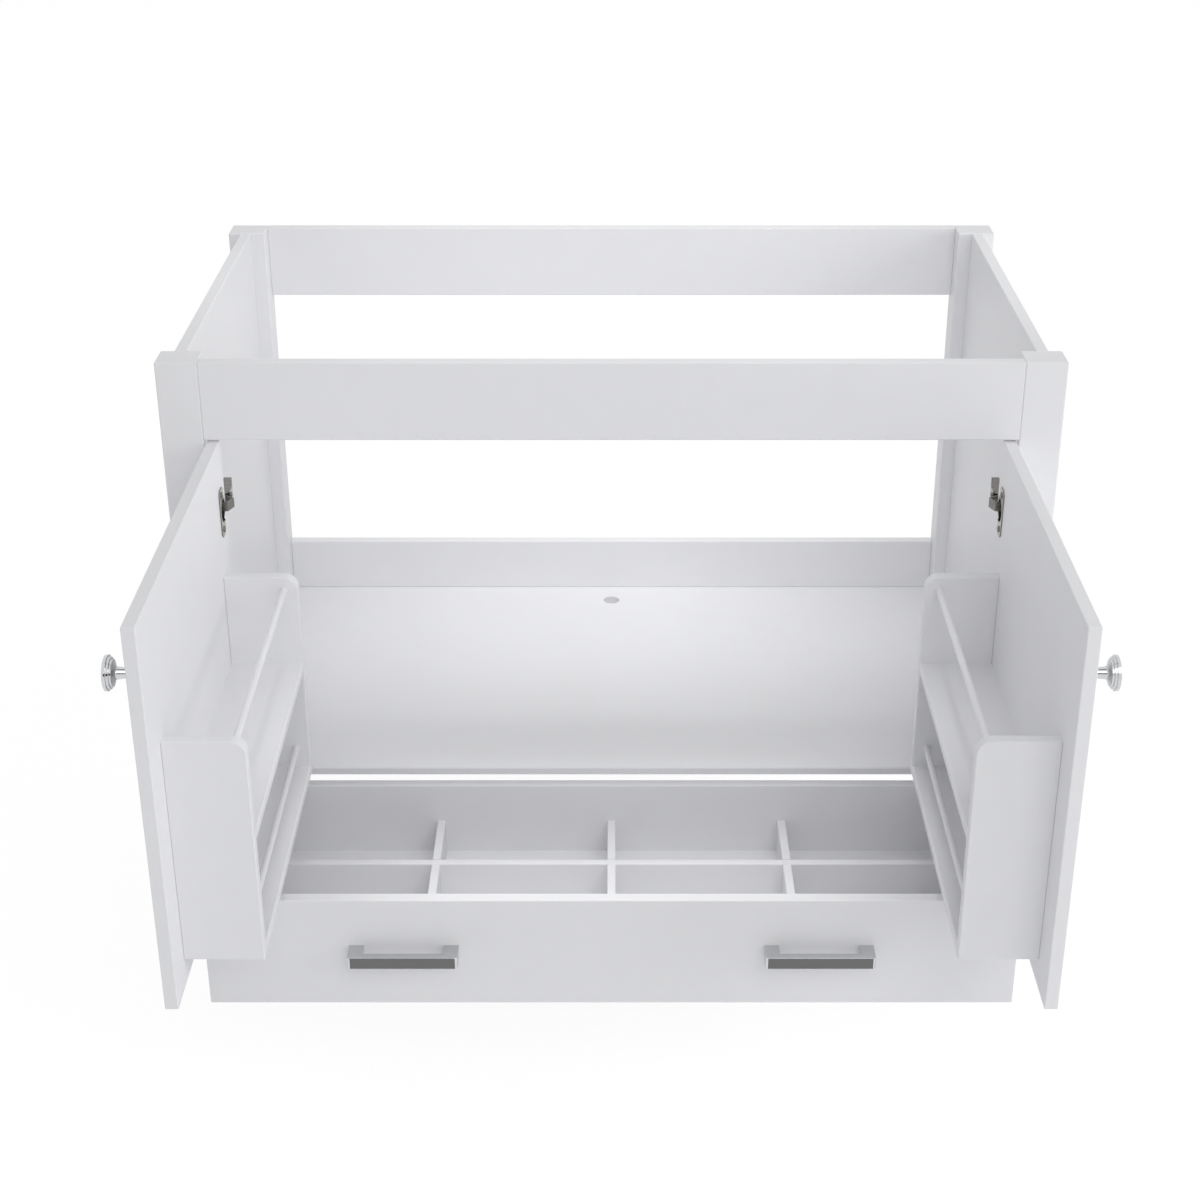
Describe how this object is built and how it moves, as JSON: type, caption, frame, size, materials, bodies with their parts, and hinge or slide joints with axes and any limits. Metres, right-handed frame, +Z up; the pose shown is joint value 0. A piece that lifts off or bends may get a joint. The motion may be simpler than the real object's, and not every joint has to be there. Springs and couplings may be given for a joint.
{
  "type": "sink base cabinet",
  "caption": "White open-top base cabinet on corner posts, with inset doors that carry racks and a wide divided drawer below.",
  "frame": {"origin": "on the floor, at the middle of the rest pose's bounding box, doors open square and drawer pulled out", "axes": "+Z up, +X to the viewer's right, the front faces -Y"},
  "size_m": [0.914, 0.8792, 0.762],
  "materials": {
    "white_paint": "white satin paint on board",
    "chrome": "polished",
    "nickel": "nickel plated",
    "zinc_steel": "zinc plated"
  },
  "bodies": {
    "carcass": {"front_left_post": "white_paint", "front_right_post": "white_paint", "back_left_post": "white_paint", "back_right_post": "white_paint", "left_side_panel": "white_paint", "right_side_panel": "white_paint", "front_top_rail": "white_paint", "back_top_rail": "white_paint", "lower_back_rail": "white_paint", "shelf": "white_paint", "left_runner_cleat": "white_paint", "right_runner_cleat": "white_paint", "slide_screws": "zinc_steel", "hinge_screws": "nickel", "hinge_plates": "nickel", "hinge_arms": "nickel", "hinge_pins": "nickel", "left_slide_outer": "zinc_steel", "right_slide_outer": "zinc_steel"},
    "door_left": {"left_door": "white_paint", "left_cup_screws": "zinc_steel", "left_hinge_cups": "nickel", "left_knob": "chrome", "left_knob_stud": "zinc_steel", "left_rack_free_side": "white_paint", "left_rack_hinge_side": "white_paint", "left_rack_lower_shelf": "white_paint", "left_rack_rods": "white_paint", "left_rack_upper_shelf": "white_paint"},
    "door_right": {"right_door": "white_paint", "right_cup_screws": "zinc_steel", "right_hinge_cups": "nickel", "right_knob": "chrome", "right_knob_stud": "zinc_steel", "right_rack_free_side": "white_paint", "right_rack_hinge_side": "white_paint", "right_rack_lower_shelf": "white_paint", "right_rack_rods": "white_paint", "right_rack_upper_shelf": "white_paint"},
    "hinge_links_left": {"left_hinge_links": "nickel"},
    "hinge_links_right": {"right_hinge_links": "nickel"},
    "drawer": {"drawer_front": "white_paint", "drawer_back": "white_paint", "drawer_floor": "white_paint", "drawer_cross_divider": "white_paint", "drawer_middle_divider": "white_paint", "drawer_left_divider": "white_paint", "drawer_right_divider": "white_paint", "drawer_right_side": "white_paint", "drawer_left_side": "white_paint", "left_pull": "chrome", "right_pull": "chrome", "pull_screws": "zinc_steel", "drawer_slide_screws": "zinc_steel", "left_slide_inner": "zinc_steel", "right_slide_inner": "zinc_steel"},
    "slide_middle_left": {"left_slide_middle": "zinc_steel"},
    "slide_middle_right": {"right_slide_middle": "zinc_steel"}
  },
  "joints": [
    {"name": "door_left_hinge", "type": "hinge", "parent": "carcass", "child": "door_left", "pos_m": [-0.408, -0.0326, 0.477], "axis": [0, 0, 1], "range_deg": [-5, 90]},
    {"name": "hinge_links_left_pivot", "type": "hinge", "parent": "carcass", "child": "hinge_links_left", "pos_m": [-0.4029, -0.01995, 0.477], "axis": [0, 0, 1], "range_deg": [-3.25, 58.5]},
    {"name": "door_right_hinge", "type": "hinge", "parent": "carcass", "child": "door_right", "pos_m": [0.408, -0.0326, 0.477], "axis": [0, 0, -1], "range_deg": [-5, 90]},
    {"name": "hinge_links_right_pivot", "type": "hinge", "parent": "carcass", "child": "hinge_links_right", "pos_m": [0.4029, -0.01995, 0.477], "axis": [0, 0, -1], "range_deg": [-3.25, 58.5]},
    {"name": "drawer_slide", "type": "slide", "parent": "carcass", "child": "drawer", "axis": [0, 1, 0], "range_m": [0, 0.2286]},
    {"name": "slide_middle_left_run", "type": "slide", "parent": "carcass", "child": "slide_middle_left", "axis": [0, 1, 0], "range_m": [0, 0.1143]},
    {"name": "slide_middle_right_run", "type": "slide", "parent": "carcass", "child": "slide_middle_right", "axis": [0, 1, 0], "range_m": [0, 0.1143]}
  ],
  "couplings": [
    {"joint": "hinge_links_left_pivot", "follows": "door_left_hinge", "ratio": 0.65},
    {"joint": "hinge_links_right_pivot", "follows": "door_right_hinge", "ratio": 0.65},
    {"joint": "slide_middle_left_run", "follows": "drawer_slide", "ratio": 0.5},
    {"joint": "slide_middle_right_run", "follows": "drawer_slide", "ratio": 0.5}
  ]
}
